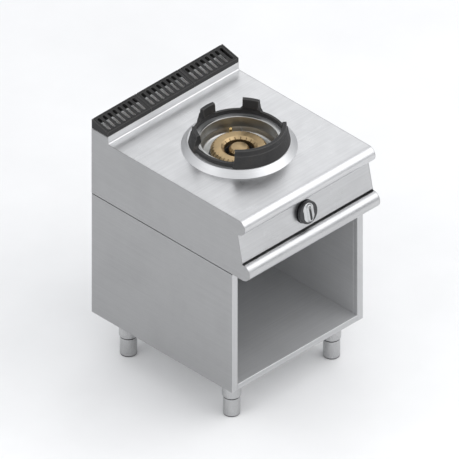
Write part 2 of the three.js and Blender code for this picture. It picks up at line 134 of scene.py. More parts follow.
def spline(pts, n=3):
    """Points on a smooth line through pts."""
    out = []
    for i in range(len(pts) - 1):
        p0, p1, p2, p3 = (Vector(pts[max(0, i - 1)]), Vector(pts[i]), Vector(pts[i + 1]), Vector(pts[min(len(pts) - 1, i + 2)]))
        for k in range(n):
            t = k / n
            q = 0.5 * ((2 * p1) + (p2 - p0) * t + (2 * p0 - 5 * p1 + 4 * p2 - p3) * t * t + (3 * p1 - p0 - 3 * p2 + p3) * t ** 3)
            out.append((min(q.x, DEPTH), q.y))
    out.append(tuple(pts[-1]))
    return out


def circle(cx, cy, r, n):
    return [(cx + r * math.cos(2 * PI * i / n), cy + r * math.sin(2 * PI * i / n)) for i in range(n)]


def stadium(cx, cy, length, w, along=0, n=12):
    p, r = [], w / 2
    h = length / 2 - r
    for s in (1, -1):
        for i in range(n + 1):
            a = -PI / 2 + PI * i / n
            p.append((s * (h + r * math.cos(a)), s * r * math.sin(a)))
    return [(cx - b, cy + a) if along else (cx + a, cy + b) for a, b in p]


# ---------------------------------------------------------------- mesh helpers
def new_object(name, bm, mats=(), sharp=32.0, weighted=True, clean=True):
    """Row-frame millimetres in, an object in metres out; edges sharper than the angle stay crisp."""
    if clean:
        bmesh.ops.remove_doubles(bm, verts=bm.verts, dist=1e-4)
        bmesh.ops.dissolve_degenerate(bm, edges=bm.edges, dist=1e-5)
    bmesh.ops.recalc_face_normals(bm, faces=bm.faces)
    bmesh.ops.scale(bm, vec=(0.001,) * 3, verts=bm.verts)
    for f in bm.faces:
        f.smooth = True
    lim = math.radians(sharp)
    for e in bm.edges:
        e.smooth = not (len(e.link_faces) == 2 and e.calc_face_angle(0) > lim)
    me = bpy.data.meshes.new(name)
    bm.to_mesh(me)
    bm.free()
    o = bpy.data.objects.new(name, me)
    bpy.context.scene.collection.objects.link(o)
    for m in mats if isinstance(mats, (list, tuple)) else [mats]:
        me.materials.append(m)
    if weighted:
        w = o.modifiers.new("normals", "WEIGHTED_NORMAL")
        w.keep_sharp = True
        w.weight = 80
    return o


def prism_bm(pts, depth, place):
    """Outline (a, b) swept by depth along c; place maps (a, b, c) to row-frame mm."""
    bm = bmesh.new()
    lo = [bm.verts.new(place(a, b, 0.0)) for a, b in pts]
    hi = [bm.verts.new(place(a, b, depth)) for a, b in pts]
    n = len(pts)
    bm.faces.new(lo[::-1])
    bm.faces.new(hi)
    for i in range(n):
        bm.faces.new((lo[i], lo[(i + 1) % n], hi[(i + 1) % n], hi[i]))
    bmesh.ops.recalc_face_normals(bm, faces=bm.faces)
    return bm


def across_x(pts, x0, x1):
    return prism_bm(pts, x1 - x0, lambda a, b, c: (x0 + c, Y(a), Z(b)))


def up_z(pts, z0, z1):
    return prism_bm(pts, z1 - z0, lambda a, b, c: (a, Y(b), Z(z0 + c)))


def along_v(pts, v0, v1):
    return prism_bm(pts, v1 - v0, lambda a, b, c: (a, Y(v0 + c), Z(b)))


def lathe_bm(prof, n=96, place=None, closed=False):
    """Profile of (radius, height) turned about +Z; on-axis ends are closed by themselves."""
    bm = bmesh.new()
    place = place or (lambda x, y, z: (x, y, z))
    rings = []
    for r, h in prof:
        if r < 1e-6:
            rings.append([bm.verts.new(place(0, 0, h))])
        else:
            rings.append([bm.verts.new(place(r * math.cos(2 * PI * i / n), r * math.sin(2 * PI * i / n), h)) for i in range(n)])
    m = len(rings)
    for k in range(m if closed else m - 1):
        A, B = rings[k], rings[(k + 1) % m]
        if len(A) == 1 and len(B) == 1:
            continue
        for i in range(n):
            j = (i + 1) % n
            vs = [A[0], B[j], B[i]] if len(A) == 1 else [A[i], A[j], B[0]] if len(B) == 1 else [A[i], A[j], B[j], B[i]]
            bm.faces.new(vs)
    bmesh.ops.recalc_face_normals(bm, faces=bm.faces)
    return bm


def at_burner(x, y, z):
    return (x, Y(BV) + y, Z(z))


def boolean(o, cutter_bm, op="DIFFERENCE"):
    """Cuts o with a closed mesh given in row-frame mm, in place."""
    c = new_object("cutter", cutter_bm, weighted=False)
    m = o.modifiers.new("cut", "BOOLEAN")
    m.operation, m.solver, m.object = op, "EXACT", c
    bake(o)
    bpy.data.objects.remove(c, do_unlink=True)
    return o


def bake(o, upto=None):
    """Applies every modifier of o to its mesh."""
    dg = bpy.context.evaluated_depsgraph_get()
    me = bpy.data.meshes.new_from_object(o.evaluated_get(dg), preserve_all_data_layers=True, depsgraph=dg)
    old = o.data
    o.modifiers.clear()
    o.data = me
    me.name = o.name
    bpy.data.meshes.remove(old)
    return o


def crisp(o, sharp=32.0):
    """Smooth faces, crisp creases, flat faces kept flat."""
    bm = bmesh.new()
    bm.from_mesh(o.data)
    lim = math.radians(sharp)
    for f in bm.faces:
        f.smooth = True
    for e in bm.edges:
        e.smooth = not (len(e.link_faces) == 2 and e.calc_face_angle(0) > lim)
    bm.to_mesh(o.data)
    bm.free()
    if "normals" not in o.modifiers:
        w = o.modifiers.new("normals", "WEIGHTED_NORMAL")
        w.keep_sharp, w.weight = True, 80
    return o


def bevel(o, width, segs=3, angle=40.0, sharp=32.0, clamp=False):
    """Rounds o's creases by width mm."""
    o.modifiers.clear()
    b = o.modifiers.new("bevel", "BEVEL")
    b.width, b.segments, b.limit_method, b.angle_limit = width / 1000, segs, "ANGLE", math.radians(angle)
    b.use_clamp_overlap = clamp
    b.harden_normals = False
    bake(o)
    return crisp(o, sharp)


def cast(o, voxel, rounds, keep=0.5):
    """Softens every edge the way a sand casting's are."""
    o.modifiers.clear()
    r = o.modifiers.new("skin", "REMESH")
    r.mode, r.voxel_size, r.use_smooth_shade = "VOXEL", voxel / 1000, True
    s = o.modifiers.new("soft", "SMOOTH")
    s.factor, s.iterations = keep, rounds
    bake(o)
    for p in o.data.polygons:
        p.use_smooth = True
    return o


def refine(node, mat, width=0.4, segs=2, body="frame", name=None, flat=1.0):
    """A finer copy of a CAD node: its facets joined, its creases rounded by width mm."""
    src = frame["nodes"][node]
    bm = bmesh.new()
    bm.from_mesh(src.data)
    bm.transform(src.matrix_world)
    bmesh.ops.remove_doubles(bm, verts=bm.verts, dist=1e-6)
    bmesh.ops.dissolve_limit(bm, angle_limit=math.radians(flat), verts=bm.verts, edges=bm.edges)
    me = bpy.data.meshes.new(name or node + "_fine")
    bm.to_mesh(me)
    bm.free()
    o = bpy.data.objects.new(me.name, me)
    bpy.context.scene.collection.objects.link(o)
    me.materials.append(mat)
    bevel(o, width, segs, 50, clamp=True)
    return put(o, body, node)


def put(o, body, *nodes):
    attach(o, body)
    if nodes:
        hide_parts(*nodes)
    return o


# ---------------------------------------------------------------- materials
class Nodes:
    """Small builder for one procedural material."""

    def __init__(self, name):
        self.m = bpy.data.materials.new(name)
        self.m.use_nodes = True
        self.t = self.m.node_tree
        self.t.nodes.clear()
        self.out = self.t.nodes.new("ShaderNodeOutputMaterial")
        self.b = self.t.nodes.new("ShaderNodeBsdfPrincipled")
        self.t.links.new(self.b.outputs[0], self.out.inputs[0])
        self.pos = self.t.nodes.new("ShaderNodeTexCoord").outputs["Object"]

    def link(self, a, b):
        self.t.links.new(a, b)

    def scaled(self, sx, sy, sz, src=None):
        n = self.t.nodes.new("ShaderNodeVectorMath")
        n.operation = "MULTIPLY"
        n.inputs[1].default_value = (sx, sy, sz)
        self.link(src or self.pos, n.inputs[0])
        return n.outputs[0]

    def polar(self, cx, cy, cr, ca, cz):
        """(radius, angle, height) about a vertical axis, each with its own scale."""
        s = self.t.nodes.new("ShaderNodeSeparateXYZ")
        self.link(self.pos, s.inputs[0])
        dx = self.math("SUBTRACT", s.outputs[0], cx)
        dy = self.math("SUBTRACT", s.outputs[1], cy)
        r = self.math("SQRT", self.math("ADD", self.math("MULTIPLY", dx, dx), self.math("MULTIPLY", dy, dy)))
        a = self.math("ARCTAN2", dy, dx)
        c = self.t.nodes.new("ShaderNodeCombineXYZ")
        self.link(self.math("MULTIPLY", r, cr), c.inputs[0])
        self.link(self.math("MULTIPLY", a, ca), c.inputs[1])
        self.link(self.math("MULTIPLY", s.outputs[2], cz), c.inputs[2])
        return c.outputs[0]

    def math(self, op, a, b=None, clamp=False):
        n = self.t.nodes.new("ShaderNodeMath")
        n.operation, n.use_clamp = op, clamp
        for i, v in enumerate((a, b)):
            if v is None:
                continue
            if isinstance(v, (int, float)):
                n.inputs[i].default_value = v
            else:
                self.link(v, n.inputs[i])
        return n.outputs[0]

    def noise(self, vec, scale=1.0, detail=3.0, rough=0.55):
        n = self.t.nodes.new("ShaderNodeTexNoise")
        n.inputs["Scale"].default_value = scale
        n.inputs["Detail"].default_value = detail
        n.inputs["Roughness"].default_value = rough
        self.link(vec, n.inputs["Vector"])
        return n.outputs["Fac"]

    def span(self, fac, lo, hi, a=0.35, b=0.65):
        """Maps fac from a..b to lo..hi."""
        n = self.t.nodes.new("ShaderNodeMapRange")
        for k, v in zip(("From Min", "From Max", "To Min", "To Max"), (a, b, lo, hi)):
            n.inputs[k].default_value = v
        self.link(fac, n.inputs["Value"])
        return n.outputs[0]

    def ramp(self, fac, stops):
        n = self.t.nodes.new("ShaderNodeValToRGB")
        e = n.color_ramp.elements
        while len(e) < len(stops):
            e.new(0.5)
        for s, (p, c) in zip(e, stops):
            s.position, s.color = p, (*c, 1)
        self.link(fac, n.inputs[0])
        return n.outputs[0]

    def mix(self, fac, a, b, mode="MIX"):
        n = self.t.nodes.new("ShaderNodeMix")
        n.data_type, n.blend_type = "RGBA", mode
        for sock, v in ((n.inputs[0], fac), (n.inputs[6], a), (n.inputs[7], b)):
            if isinstance(v, (int, float)):
                sock.default_value = v
            elif isinstance(v, tuple):
                sock.default_value = (*v, 1)
            else:
                self.link(v, sock)
        return n.outputs[2]

    def bump(self, height, strength, dist, below=None):
        n = self.t.nodes.new("ShaderNodeBump")
        n.inputs["Strength"].default_value = strength
        n.inputs["Distance"].default_value = dist
        self.link(height, n.inputs["Height"])
        if below is not None:
            self.link(below, n.inputs["Normal"])
        return n.outputs[0]

    def set(self, **kw):
        names = {"color": "Base Color", "rough": "Roughness", "metal": "Metallic", "normal": "Normal", "spec": "Specular IOR Level", "coat": "Coat Weight", "coat_rough": "Coat Roughness", "sheen": "Sheen Weight"}
        for k, v in kw.items():
            s = self.b.inputs[names[k]]
            if isinstance(v, (int, float)):
                s.default_value = v
            elif isinstance(v, tuple):
                s.default_value = (*v, 1)
            else:
                self.link(v, s)
        return self.m


def steel(name, grain, tone=0.60, rough=0.30, streak=0.035, warm=0.0, polar=None, metal=1.0):
    """Brushed stainless steel. grain is the direction the brushing runs in: x, y, z or r for turned pieces."""
    n = Nodes(name)
    fine, band = 2600.0, 230.0
    if polar is not None:
        vf, vb = n.polar(polar[0], polar[1], fine, 3.0, fine), n.polar(polar[0], polar[1], band, 1.2, band)
    else:
        k = {"x": (14, fine, fine), "y": (fine, 14, fine), "z": (fine, fine, 14)}[grain]
        kb = {"x": (2.2, band, band), "y": (band, 2.2, band), "z": (band, band, 2.2)}[grain]
        vf, vb = n.scaled(*k), n.scaled(*kb)
    hair = n.noise(vf, 1.0, 2.0, 0.6)
    bands = n.noise(vb, 1.0, 3.0, 0.6)
    cloud = n.noise(n.scaled(1, 1, 1), 5.0, 4.0, 0.55)
    smear = n.noise(n.scaled(1, 1, 1), 23.0, 3.0, 0.6)
    lo, hi = tone * (1 - streak), tone * (1 + streak)
    c = n.ramp(bands, [(0.32, (lo, lo * 1.004, lo * (1.012 - warm))), (0.68, (hi, hi * 1.004, hi * (1.014 - warm)))])
    shade = n.span(cloud, 0.955, 1.03)
    col = n.mix(1.0, c, n.ramp(shade, [(0.0, (0, 0, 0)), (1.0, (1, 1, 1))]), "MULTIPLY")
    r = n.math("ADD", n.span(hair, rough - 0.05, rough + 0.05), n.span(smear, -0.025, 0.04))
    r = n.math("ADD", r, n.span(cloud, -0.02, 0.02))
    nb = n.bump(hair, 0.16, 0.00006)
    nb = n.bump(cloud, 0.05, 0.0006, nb)
    return n.set(color=col, rough=r, metal=metal, normal=nb)


def iron(name, tone=0.030, rough=0.62, grain=1.0, rust=0.25):
    """Sand-cast iron with a thin burnt-on coat, paler on its edges: partly rubbed wear, partly a painted edge
    highlight.
    """
    n = Nodes(name)
    g1 = n.noise(n.scaled(1, 1, 1), 900.0 * grain, 3.0, 0.6)
    g2 = n.noise(n.scaled(1, 1, 1), 210.0 * grain, 4.0, 0.6)
    big = n.noise(n.scaled(1, 1, 1), 22.0, 4.0, 0.6)
    # pointiness lightens the crests: rubbed wear, and also a painted highlight that draws the edges as light lines
    geo = n.t.nodes.new("ShaderNodeNewGeometry")
    edge = n.span(geo.outputs["Pointiness"], 0.0, 1.0, 0.505, 0.56)
    edge = n.math("MULTIPLY", edge, n.span(g2, 0.4, 1.0), True)
    base = n.ramp(big, [(0.3, (tone * 0.75, tone * 0.75, tone * 0.78)), (0.62, (tone * 1.25, tone * 1.22, tone * 1.2)), (0.8, (tone * (1.4 + rust), tone * 1.25, tone * (1.2 - rust * 0.5)))])
    col = n.mix(n.math("MULTIPLY", edge, 0.65), base, (0.16, 0.155, 0.15))
    r = n.math("ADD", n.span(g2, rough - 0.08, rough + 0.08), n.span(big, -0.05, 0.05))
    nb = n.bump(g1, 0.35, 0.00018)
    nb = n.bump(g2, 0.30, 0.0005, nb)
    return n.set(color=col, rough=r, metal=0.35, normal=nb, spec=0.5)


def plain_metal(name, color, rough, grain=700.0, vary=0.08, tint=None, metal=1.0):
    n = Nodes(name)
    a = n.noise(n.scaled(1, 1, 1), grain, 3.0)
    b = n.noise(n.scaled(1, 1, 1), 34.0, 4.0)
    c0, c1 = tuple(x * (1 - vary) for x in color), tuple(min(1.0, x * (1 + vary)) for x in color)
    stops = [(0.3, c0), (0.66, c1)] + ([(0.86, tint)] if tint else [])
    col = n.ramp(b, stops)
    r = n.math("ADD", n.span(a, rough - 0.05, rough + 0.06), n.span(b, -0.05, 0.06))
    nb = n.bump(a, 0.2, 0.00008)
    return n.set(color=col, rough=r, metal=metal, normal=nb)


def galvanised(name):
    """Zinc-coated sheet with its soft crystal pattern."""
    n = Nodes(name)
    v = n.t.nodes.new("ShaderNodeTexVoronoi")
    v.inputs["Scale"].default_value = 105.0
    n.link(n.scaled(1, 1, 1), v.inputs["Vector"])
    s = n.t.nodes.new("ShaderNodeSeparateColor")
    n.link(v.outputs["Color"], s.inputs[0])
    a = n.noise(n.scaled(1, 1, 1), 300.0, 3.0)
    col = n.ramp(s.outputs[0], [(0.0, (0.445, 0.46, 0.475)), (0.5, (0.475, 0.49, 0.505)), (1.0, (0.51, 0.525, 0.54))])
    r = n.math("ADD", n.span(s.outputs[1], 0.42, 0.50, 0.0, 1.0), n.span(a, -0.04, 0.04))
    return n.set(color=col, rough=r, metal=0.95, normal=n.bump(a, 0.12, 0.0001))


def plastic(name, color, rough=0.42, grain=1500.0, depth=0.00007):
    n = Nodes(name)
    a = n.noise(n.scaled(1, 1, 1), grain, 2.0)
    b = n.noise(n.scaled(1, 1, 1), 60.0, 3.0)
    c0, c1 = tuple(x * 0.86 for x in color), tuple(x * 1.14 for x in color)
    return n.set(color=n.ramp(b, [(0.3, c0), (0.7, c1)]), rough=n.math("ADD", n.span(a, rough - 0.05, rough + 0.05), n.span(b, -0.03, 0.05)), metal=0.0, normal=n.bump(a, 0.3, depth))


BY = Y(BV) / 1000
M = {
    # painted light and shade: sides, front and worktop are one stainless sheet, but the sides get a darker tone (0.38)
    # as painted shade, the worktop a lighter one (0.60) as painted light, and the front and uprights sit between (0.53)
    "side": steel("steel_brushed_sides_painted_shade", "y", 0.38, 0.36),
    "top": steel("steel_brushed_worktop_painted_light", "x", 0.60, 0.34, 0.05),
    "front": steel("steel_brushed_front", "x", 0.53, 0.33, 0.05),
    "frontface": steel("steel_brushed_uprights", "z", 0.53, 0.33),
    "inner": steel("steel_plain_inner", "y", 0.58, 0.42, metal=0.45),
    "pan": steel("steel_plain_floor", "x", 0.60, 0.40, metal=0.45),
    "turned": steel("steel_turned_collar", "r", 0.62, 0.40, polar=(0.0, BY), metal=0.85),
    "bowl": steel("steel_spun_bowl", "r", 0.50, 0.36, 0.05, 0.03, polar=(0.0, BY)),
    "leg": steel("steel_brushed_legs", "z", 0.50, 0.26),
    "small": plain_metal("steel_small_parts", (0.50, 0.505, 0.51), 0.33),
    "screw": plain_metal("screw_zinc_plated", (0.30, 0.30, 0.29), 0.40),
    "galv": galvanised("sheet_galvanised"),
    "duct": plain_metal("sheet_aluminised_flue", (0.90, 0.90, 0.89), 0.6, 500.0, 0.04, metal=0.0),
    "iron": iron("iron_cast_ring", 0.026, 0.56),
    "grille": iron("iron_cast_grille", 0.013, 0.46, 1.2, 0.1),
    "burner": iron("iron_cast_burner", 0.05, 0.66, 1.0, 0.5),
    "brass": plain_metal("brass_machined", (0.66, 0.47, 0.21), 0.30, tint=(0.50, 0.33, 0.16)),
    "crown": plain_metal("brass_burner_heat_tinted", (0.46, 0.34, 0.19), 0.42, vary=0.16, tint=(0.27, 0.185, 0.13)),
    "copper": plain_metal("copper_drawn_tube", (0.74, 0.38, 0.24), 0.30, tint=(0.45, 0.24, 0.17)),
    "black": plastic("moulded_black_dial", (0.016, 0.016, 0.018), 0.34),
    "knob": plain_metal("knob_satin_metal", (0.55, 0.555, 0.56), 0.27, 1400.0, 0.03),
    "skirt": plastic("moulded_black_knob", (0.020, 0.020, 0.022), 0.30),
    "glide_and_groove_shade": plastic("glide_black_plastic_and_groove_shade", (0.03, 0.03, 0.031), 0.5),
    "white": plastic("mark_white", (0.70, 0.70, 0.68), 0.45),
    "painted_shade": plastic("black_painted_shade", (0.012, 0.012, 0.013), 0.45),
}

# every CAD node starts from its own slot's finish; the visible ones are replaced below
SLOT_MAT = {"stainless": "side", "stainless_plain": "inner", "galvanised": "galv", "cast_iron": "burner", "brass": "brass", "copper": "copper", "small_steel": "small", "dial_black": "black", "knob_metal": "knob"}
slot_of = {s["node"]: s["material_slot"] for s in frame["record"]["subparts"]}
for node, o in frame["nodes"].items():
    m = M[SLOT_MAT.get(slot_of.get(node, ""), "small")]
    o.data.materials.clear()
    o.data.materials.append(m)

# ---------------------------------------------------------------- legs
for fx, sx in (("left", -1), ("right", 1)):
    for fy, v in (("front", 573.8), ("rear", 98.8)):
        def here(x, y, z, sx=sx, v=v):
            return (sx * 229 + x, Y(v) + y, LEG + z)
        prof = fillet([(0, -GAP), (31.6, -GAP), (31.6, -72.4), (30.4, -75), (29, -75), (29, -3.3), (0, -3.3)], [0, 0.8, 2.5, 0.4, 0.3, 0.5, 0], 5)
        put(new_object(f"sleeve_{fy}_{fx}", lathe_bm(prof, 96, here), M["leg"]), "frame", f"leg_sleeve_{fy}_{fx}")
        prof = fillet([(0, -148), (27.6, -148), (27.6, -144.8), (28.3, -144), (28.3, -80.5), (25.4, -79.3), (25.4, -8), (23.6, -8), (23.6, -78), (26.3, -82), (26.3, -138), (0, -138)], [0, 1.0, 0.2, 0.4, 0.9, 0.3, 0.5, 0.5, 0.5, 0.5, 1, 0], 5)
        o = new_object(f"foot_{fy}_{fx}", lathe_bm(prof, 96, here), [M["leg"], M["glide_and_groove_shade"]])
        # the bottom 3.6 mm is the black glide; the band 67.6 to 75 mm up, inside the groove under the sleeve, is
        # painted shade: black standing in for the groove's shadow
        for f in o.data.polygons:
            f.material_index = 1 if f.center.z < 0.0036 or 0.0676 < f.center.z < 0.075 else 0
        put(o, f"foot_{fy}_{fx}", f"leg_foot_{fy}_{fx}")

# ---------------------------------------------------------------- cabinet
for side, s in (("left", -1), ("right", 1)):
    path = fillet([(XI, -629), (XI, -CAB_D), (300, -CAB_D), (300, 0), (285, 0)], 1.8, 5)
    prof = [(s * x, -v) for x, v in sheet(path, 1.2)]
    o = new_object(f"side_panel_{side}", up_z(prof, 0.2, CAB_H - 1.4), [M["side"], M["frontface"], M["inner"]], weighted=False)
    for f in o.data.polygons:
        f.material_index = 1 if f.normal.y < -0.5 else 2 if f.normal.x * s < -0.5 and f.center.x * s < 0.28 else 0
    put(bevel(o, 0.35, 2, 60), "frame", f"cabinet_side_{side}")
    path = fillet([(XI + 12, -628.6), (XI, -628.6), (XI, -2.2), (XI + 12, -2.2)], 1.5, 4)
    prof = [(s * x, -v) for x, v in sheet(path, -1.2)]
    put(new_object(f"liner_{side}", up_z(prof, GAP, CAB_H - GAP), M["inner"]), "frame", f"cabinet_liner_{side}")
    path = fillet([(189, 21.4), (189, 0), (269, 0), (269, 21.4)], 3, 5)
    put(new_object(f"leg_channel_{side}", along_v([(s * x, z) for x, z in sheet(path, 2)], 20, 625), M["galv"]), "frame", f"leg_rail_{side}")
path = fillet([(632, 0), (CAB_D, 0), (CAB_D, LIP), (1.5, LIP), (1.5, 3)], 1.8, 5)
o = new_object("floor_pan", across_x(sheet(path, 1.2), -XI + GAP, XI - GAP), [M["pan"], M["front"]], weighted=False)
for f in o.data.polygons:
    f.material_index = 1 if f.normal.y < -0.5 else 0
put(crisp(o), "frame", "cabinet_floor")
path = fillet([(630, 446), (647.3, 446), (647.3, CAB_H - GAP), (630, CAB_H - GAP)], 1.8, 5)
put(new_object("front_tie_rail", across_x(sheet(path, 1.2), -XI + GAP, XI - GAP), M["front"]), "frame", "tie_rail_front")

# ---------------------------------------------------------------- upper body
NOSE = [(674, TOP), (681, 702), (687.5, 700), (693.5, 696.5), (698.5, 691.5), (702.2, 685.5), (704.2, 679), (704.6, 673), (703.4, 666), (700.2, 659.3), (695.5, 653.4), (689.3, 648.4), (682.5, 645), (677, 643.4), (671, 643)]
RAIL = [(694, 534), (703.5, 533.2), (711.2, 530.6), (717.4, 526), (722, 519.5), (725.2, 511.5), (DEPTH, 502.5), (725.4, 494.8), (721.8, 487.6), (716, 481.4), (708.5, 476.7), (700, 473.9), (690, 472.6), (676, CAB_H + GAP)]
UPSTAND = fillet([(67, FLUE_TOP - GAP), (FLUE_D, FLUE_TOP - GAP), (FLUE_D, TOP), (673, TOP)], [0, 2.0, 7.3, 0], 8)[:-1]
NOSE_S, RAIL_S = spline(NOSE, 3), spline(RAIL, 3)


def panel_v(z):
    return 671 + (643 - z) * 23 / 109


for side, s in (("left", -1), ("right", 1)):
    prof = fillet([(0, CAB_H + 1.4), (0, FLUE_TOP - 0.9), (FLUE_D, FLUE_TOP - 0.9), (FLUE_D, TOP), (673, TOP)], [0, 1, 1.2, 7.3, 0], 8)[:-1] + NOSE_S + [(v, max(z, CAB_H + 1.4)) for v, z in RAIL_S]
    x0, x1 = (XC, 300) if s > 0 else (-300, -XC)
    o = new_object(f"cheek_{side}", across_x(prof, x0, x1), M["side"], weighted=False)
    put(bevel(o, 0.5, 2, 60), "frame", f"upper_side_{side}")
o = new_object("worktop_sheet", across_x(sheet(UPSTAND + NOSE_S + [(664, 643)], -2), -XW, XW), M["top"], weighted=False)
hole = lathe_bm([(0, TOP - 20), (150, TOP - 20), (150, TOP + 20), (0, TOP + 20)], 128, at_burner)
put(crisp(boolean(o, hole)), "frame", "worktop")

TILT = math.atan2(109, 23)
PANEL = Matrix.Translation((0, Y(panel_v(KNOB_Z)), Z(KNOB_Z))) @ Matrix.Rotation(TILT, 4, "X")


def on_panel(x, y, z):
    return tuple(PANEL @ Vector((x, y, z)))


path = fillet([(650, 642.4), (panel_v(642.4), 642.4), (panel_v(537), 537), (680, 537)], 1.6, 4)
o = new_object("sloping_panel", across_x(sheet(path, -1.5), -XW, XW), M["front"], weighted=False)
put(crisp(boolean(o, lathe_bm([(0, -12), (13, -12), (13, 12), (0, 12)], 64, on_panel))), "frame", "control_panel")
path = fillet([(672, 552), (672, 528), (695.8, 528), (698.2, 532.4), (703.5, 533.2)], [0, 1.6, 1.2, 2.2, 0], 4)[:-1] + spline(RAIL[1:], 3) + fillet([(690, CAB_H + GAP), (642, CAB_H + GAP), (642, 488)], [0, 1.6, 0], 4)[1:]
put(new_object("front_rail", across_x(sheet(path, -1.5), -XW, XW), M["front"]), "frame", "lower_rail")

# ---------------------------------------------------------------- flue grilles
def grille_top(v):
    return GR_BACK + (GR_FRONT - GR_BACK) * v / GR_D


for i, name in enumerate(("left", "middle", "right")):
    x0 = -300 + i * GR_W + (GAP / 2 if i else GAP)
    x1 = -300 + (i + 1) * GR_W - (GAP / 2 if i < 2 else GAP)
    xm = -300 + (i + 0.5) * GR_W
    o = new_object(f"grille_{name}", across_x([(0, FLUE_TOP), (GR_D, FLUE_TOP), (GR_D, grille_top(GR_D)), (0, grille_top(0))], x0, x1), M["grille"], weighted=False)
    boolean(o, across_x([(4, 700), (GR_D - 4, 700), (GR_D - 4, grille_top(GR_D - 4) - 5), (4, grille_top(4) - 5)], x0 - 1 if i else x0 + 4, x1 + 1 if i < 2 else x1 - 4))
    for k in range(SLOTS):
        boolean(o, up_z(stadium(xm + (k - (SLOTS - 1) / 2) * PITCH, GR_D / 2, 58, SLOT_W, 1, 12), 735, 780))
    for g in (x0 + 4.6, x1 - 7.4):   # the line that sets off each end rib
        boolean(o, across_x([(-2, grille_top(-2) - 2.4), (GR_D + 2, grille_top(GR_D + 2) - 2.4), (GR_D + 2, 790), (-2, 790)], g, g + 2.8))
    put(cast(o, 1.1, 3, 0.5), f"grille_{name}", f"flue_grille_{name}")

# ---------------------------------------------------------------- burner collar, bowl and ring
prof = [(COL_R0, TOP + GAP), (COL_R1 + 0.2, TOP + COL_H), (131, TOP + COL_H), (131, TOP + COL_H - 2), (168, TOP + COL_H - 2), (187.2, TOP + GAP)]
prof = fillet(prof, [0, 3, 0.7, 0.3, 2, 0], 6, True)
put(new_object("collar", lathe_bm(prof, 192, at_burner, True), M["turned"]), "frame", "burner_collar")

path = fillet([(135.5, RING_Z + 1.5), (128.4, RING_Z + 1.5), (128.4, 688), (121, 668), (99, 668)], [0, 2, 8, 10, 0], 8)
o = new_object("bowl", lathe_bm(sheet(path, 1.5), 160, at_burner, True), M["bowl"], weighted=False)
for px, pv, pr in ((55, BV - 95.3, 7), (81.7, BV - 73.6, 5)):
    boolean(o, prism_bm(circle(px, pv, pr, 32), 40, lambda a, b, c: (a, Y(b), Z(650 + c))))
put(crisp(o), "spill_bowl", "spill_bowl")

BAND, FOOT = 17, 11


def ring_inner(h):
    return 149 - h / 20 if h < 20 else 168 - h if h < 32 else 136 + (h - 32) / 6


def ring_station(a, h, flare):
    def outer(z):
        plain = 157 if z < 44 else 157 - (z - 44) / 6
        return plain + flare * ((167.5 - z * 9.5 / 44 if z < 44 else 155.4 - (z - 44) * 1.4 / 18) - plain)
    pts = [(ring_inner(0), 0), (outer(0), 0), (outer(min(h, 43.9)), min(h, 43.9)), (outer(min(h, 44.1)), min(h, 44.1)), (outer(h), h), (ring_inner(h), h), (ring_inner(min(h, 32)), min(h, 32)), (ring_inner(min(h, 20)), min(h, 20))]
    c, s = math.cos(math.radians(a)), math.sin(math.radians(a))
    return [(r * c, -r * s + Y(BV), z + Z(RING_Z)) for r, z in pts]


rows = []
parts = [(89.7, 51, 1), (210, 11, 1), (270, 11, 1), (330, 11, 1)]
deg = 1 / 153 / math.radians(1)
last = parts[3][0] + parts[3][1] + FOOT * deg - 360
for mid, half, flare in parts:
    a0, a1 = mid - half, mid + half
    n0 = math.ceil((a0 - FOOT * deg - last) / 1.5)
    rows += [ring_station(last + (a0 - FOOT * deg - last) * i / n0, BAND, 0) for i in range(1, n0)]

    def climb(d):
        return BAND + FOOT - math.sqrt(max(0, FOOT * FOOT - (d - FOOT) ** 2))

    def fade(d):
        return flare * (1 + math.cos(PI * min(1, d / FOOT))) / 2
    arc = [FOOT * (1 - math.sin(PI / 2 * i / 10)) for i in range(11)]
    rows += [ring_station(a0 - d * deg, climb(d), fade(d)) for d in arc]
    n1 = math.ceil(2 * half / 1.5)
    rows += [ring_station(a0 + 0.03 + (a1 - a0 - 0.06) * i / n1, RING_H, flare) for i in range(n1 + 1)]
    rows += [ring_station(a1 + d * deg, climb(d), fade(d)) for d in arc[::-1]]
    last = a1 + FOOT * deg
bm = bmesh.new()
grid = [[bm.verts.new(p) for p in row] for row in rows]
for i, A in enumerate(grid):
    B = grid[(i + 1) % len(grid)]
    for k in range(8):
        bm.faces.new((A[k], B[k], B[(k + 1) % 8], A[(k + 1) % 8]))
o = new_object("wok_support_ring", bm, M["iron"], weighted=False)
put(cast(o, 1.15, 5, 0.5), "wok_ring", "wok_ring")

# ---------------------------------------------------------------- burner
def front_axis(v0, z):
    """Local +Z points to the front."""
    return lambda x, y, h: (x, Y(v0) - h, Z(z) + y)


prof = fillet([(0, 628), (46, 628), (90, 648), (95, 655), (95, 675), (87, 675), (87, 658), (56, 646), (56, 675), (49, 675), (49, 640), (34, 636), (34, 675), (27, 675), (27, 636), (0, 636)], [0, 3, 3, 2, 1, 1, 3, 3, 1, 1, 2, 2, 1, 1, 2, 0], 4)
o = new_object("burner_casting", lathe_bm(prof, 128, at_burner), M["burner"], weighted=False)
boolean(o, lathe_bm([(0, 50), (26, 50), (26, 108), (0, 108)], 64, front_axis(BV, TUBE_Z)), "UNION")
boolean(o, lathe_bm([(0, 62), (13, 62), (13, 120), (0, 120)], 48, front_axis(BV, TUBE_Z)))
put(crisp(o), "frame", "burner_body")
prof = fillet([(14, 108.3), (26, 108.3), (26, 114), (19, 116), (16.5, 140), (17, 165), (24, 196), (21.5, 196), (14.6, 165)], [0.5, 1, 1, 3, 8, 10, 0.8, 0.8, 6], 5, True)
put(new_object("venturi_tube", lathe_bm(prof, 64, front_axis(BV, TUBE_Z), True), M["burner"]), "frame", "mixing_tube")
prof = fillet([(24.4, 184), (26.4, 184), (26.4, 204), (10, 204), (10, 202), (24.4, 202)], 0.4, 3, True)
put(new_object("air_sleeve", lathe_bm(prof, 64, front_axis(BV, TUBE_Z), True), M["brass"]), "frame", "air_shutter")


